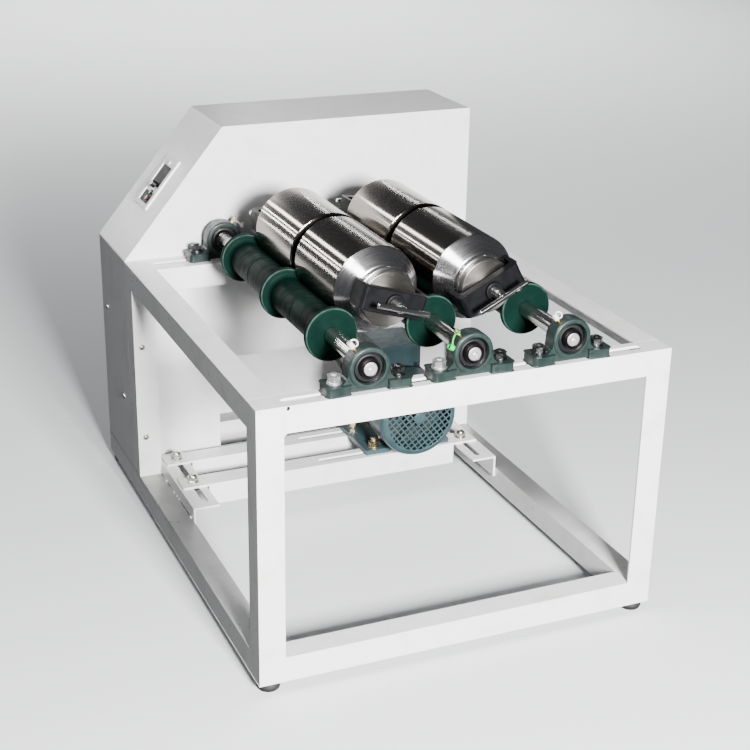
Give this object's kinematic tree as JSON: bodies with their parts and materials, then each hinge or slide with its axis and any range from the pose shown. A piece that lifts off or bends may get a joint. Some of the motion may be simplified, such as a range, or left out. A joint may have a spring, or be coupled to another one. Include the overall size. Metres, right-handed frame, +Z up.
{
  "type": "jar mill",
  "caption": "Bench jar mill: driven rollers in pillow-block bearings on a welded frame turn clamped steel jars, with a belt drive in a sheet-metal cover behind.",
  "frame": {"origin": "centre of the footprint, on the floor under the feet", "axes": "+X to the right along the front rail, +Y from the front to the cover, +Z up"},
  "size_m": [0.65, 0.865, 0.665],
  "materials": {
    "frame_paint": "light grey satin paint",
    "cover_paint": "light grey satin paint",
    "housing_paint": "dark green gloss paint on cast iron",
    "motor_paint": "teal green paint on cast aluminium",
    "polyurethane": "dark green cast polyurethane",
    "shaft_steel": "turned bright steel",
    "bolt_steel": "zinc-plated steel",
    "seal_rubber": "black bearing seal",
    "foot_rubber": "black rubber",
    "belt_rubber": "black belt rubber",
    "jar_steel": "turned stainless steel",
    "clamp_black": "black oxide",
    "screw_chrome": "bright plated steel",
    "bezel_grey": "grey moulded plastic",
    "panel_face": "dark display foil",
    "knob_black": "black moulded plastic",
    "start_green": "green push button",
    "stop_red": "red push button",
    "pulley_iron": "machined cast iron",
    "fan_plastic": "moulded fan plastic"
  },
  "bodies": {
    "mill": {"base_rails": "frame_paint", "front_posts": "frame_paint", "middle_posts": "frame_paint", "rear_posts": "frame_paint", "side_top_rails": "frame_paint", "front_bearing_rail": "frame_paint", "rear_bearing_rail": "frame_paint", "levelling_feet": "foot_rubber", "motor_brackets": "frame_paint", "motor_rail_front": "frame_paint", "motor_rail_rear": "frame_paint", "motor_mount_bolts": "bolt_steel", "motor_frame": "motor_paint", "motor_end_bells": "motor_paint", "motor_cowl": "motor_paint", "motor_terminal_box": "motor_paint", "v_belt": "belt_rubber", "cover_shell": "cover_paint", "cover_upper_panel": "cover_paint", "cover_lower_panel": "cover_paint", "cover_back_panel": "cover_paint", "control_bezel": "bezel_grey", "control_display": "panel_face", "front_bearing_housings": "housing_paint", "rear_bearing_housings": "housing_paint", "bearing_inserts": "seal_rubber", "bearing_bolts": "bolt_steel"},
    "roller_1": {"roller_1_shaft": "shaft_steel", "roller_1_sleeve": "polyurethane"},
    "roller_2": {"roller_2_shaft": "shaft_steel", "roller_2_sleeve": "polyurethane", "driven_pulley": "pulley_iron"},
    "roller_3": {"roller_3_shaft": "shaft_steel", "roller_3_sleeve": "polyurethane"},
    "rotor": {"motor_shaft": "shaft_steel", "motor_fan": "fan_plastic", "motor_pulley": "pulley_iron"},
    "speed_dial": {"speed_knob": "knob_black"},
    "start_key": {"start_button": "start_green"},
    "stop_key": {"stop_button": "stop_red"},
    "jar_1": {"jar_1_shell": "jar_steel"},
    "closure_1": {"jar_1_lid": "jar_steel", "jar_1_yoke": "clamp_black"},
    "screw_1": {"jar_1_clamp_screw": "screw_chrome"},
    "jar_2": {"jar_2_shell": "jar_steel"},
    "closure_2": {"jar_2_lid": "jar_steel", "jar_2_yoke": "clamp_black"},
    "screw_2": {"jar_2_clamp_screw": "screw_chrome"},
    "jar_3": {"jar_3_shell": "jar_steel"},
    "closure_3": {"jar_3_lid": "jar_steel", "jar_3_yoke": "clamp_black"},
    "screw_3": {"jar_3_clamp_screw": "screw_chrome"},
    "jar_4": {"jar_4_shell": "jar_steel"},
    "closure_4": {"jar_4_lid": "jar_steel", "jar_4_yoke": "clamp_black"},
    "screw_4": {"jar_4_clamp_screw": "screw_chrome"}
  },
  "joints": [
    {"name": "roller_2_spin", "type": "hinge", "parent": "mill", "child": "roller_2", "pos_m": [0, -0.0875, 0.4783], "axis": [0, -1, 0], "continuous": true},
    {"name": "roller_1_spin", "type": "hinge", "parent": "mill", "child": "roller_1", "pos_m": [-0.158, -0.0875, 0.4783], "axis": [0, -1, 0], "continuous": true},
    {"name": "roller_3_spin", "type": "hinge", "parent": "mill", "child": "roller_3", "pos_m": [0.158, -0.0875, 0.4783], "axis": [0, -1, 0], "continuous": true},
    {"name": "motor_spin", "type": "hinge", "parent": "mill", "child": "rotor", "pos_m": [0.145, 0.1675, 0.162], "axis": [0, -1, 0], "continuous": true},
    {"name": "jar_1_spin", "type": "hinge", "parent": "mill", "child": "jar_1", "pos_m": [-0.079, -0.1965, 0.52979], "axis": [0, -1, 0], "continuous": true},
    {"name": "jar_1_closure_slide", "type": "slide", "parent": "jar_1", "child": "closure_1", "axis": [0.2924, 0, 0.9563], "range_m": [0, 0.085]},
    {"name": "jar_1_screw_turn", "type": "hinge", "parent": "closure_1", "child": "screw_1", "pos_m": [-0.079, -0.3265, 0.52979], "axis": [0, -1, 0], "range_deg": [0, 720]},
    {"name": "jar_2_spin", "type": "hinge", "parent": "mill", "child": "jar_2", "pos_m": [0.079, -0.1965, 0.52979], "axis": [0, -1, 0], "continuous": true},
    {"name": "jar_2_closure_slide", "type": "slide", "parent": "jar_2", "child": "closure_2", "axis": [-0.454, 0, 0.891], "range_m": [0, 0.085]},
    {"name": "jar_2_screw_turn", "type": "hinge", "parent": "closure_2", "child": "screw_2", "pos_m": [0.079, -0.3265, 0.52979], "axis": [0, -1, 0], "range_deg": [0, 720]},
    {"name": "jar_3_spin", "type": "hinge", "parent": "mill", "child": "jar_3", "pos_m": [-0.079, 0.0215, 0.52979], "axis": [0, -1, 0], "continuous": true},
    {"name": "jar_3_closure_slide", "type": "slide", "parent": "jar_3", "child": "closure_3", "axis": [0, 0, 1], "range_m": [0, 0.085]},
    {"name": "jar_3_screw_turn", "type": "hinge", "parent": "closure_3", "child": "screw_3", "pos_m": [-0.079, 0.1515, 0.52979], "axis": [0, 1, 0], "range_deg": [0, 720]},
    {"name": "jar_4_spin", "type": "hinge", "parent": "mill", "child": "jar_4", "pos_m": [0.079, 0.0215, 0.52979], "axis": [0, -1, 0], "continuous": true},
    {"name": "jar_4_closure_slide", "type": "slide", "parent": "jar_4", "child": "closure_4", "axis": [0.1736, 0, 0.9848], "range_m": [0, 0.085]},
    {"name": "jar_4_screw_turn", "type": "hinge", "parent": "closure_4", "child": "screw_4", "pos_m": [0.079, 0.1515, 0.52979], "axis": [0, 1, 0], "range_deg": [0, 720]},
    {"name": "speed_turn", "type": "hinge", "parent": "mill", "child": "speed_dial", "pos_m": [-0.24015, 0.3425, 0.54871], "axis": [-0.774, 0, 0.6332], "range_deg": [-270, 0]},
    {"name": "start_press", "type": "slide", "parent": "mill", "child": "start_key", "axis": [0.774, 0, -0.6332], "range_m": [0, 0.002], "stiffness_N_per_m": 400, "springref_m": -0.001},
    {"name": "stop_press", "type": "slide", "parent": "mill", "child": "stop_key", "axis": [0.774, 0, -0.6332], "range_m": [0, 0.002], "stiffness_N_per_m": 400, "springref_m": -0.001}
  ],
  "couplings": [
    {"joint": "roller_1_spin", "follows": "motor_spin", "ratio": 0.5139},
    {"joint": "roller_2_spin", "follows": "motor_spin", "ratio": 0.5139},
    {"joint": "roller_3_spin", "follows": "motor_spin", "ratio": 0.5139},
    {"joint": "jar_1_spin", "follows": "motor_spin", "ratio": -0.218},
    {"joint": "jar_2_spin", "follows": "motor_spin", "ratio": -0.218},
    {"joint": "jar_3_spin", "follows": "motor_spin", "ratio": -0.218},
    {"joint": "jar_4_spin", "follows": "motor_spin", "ratio": -0.218}
  ]
}
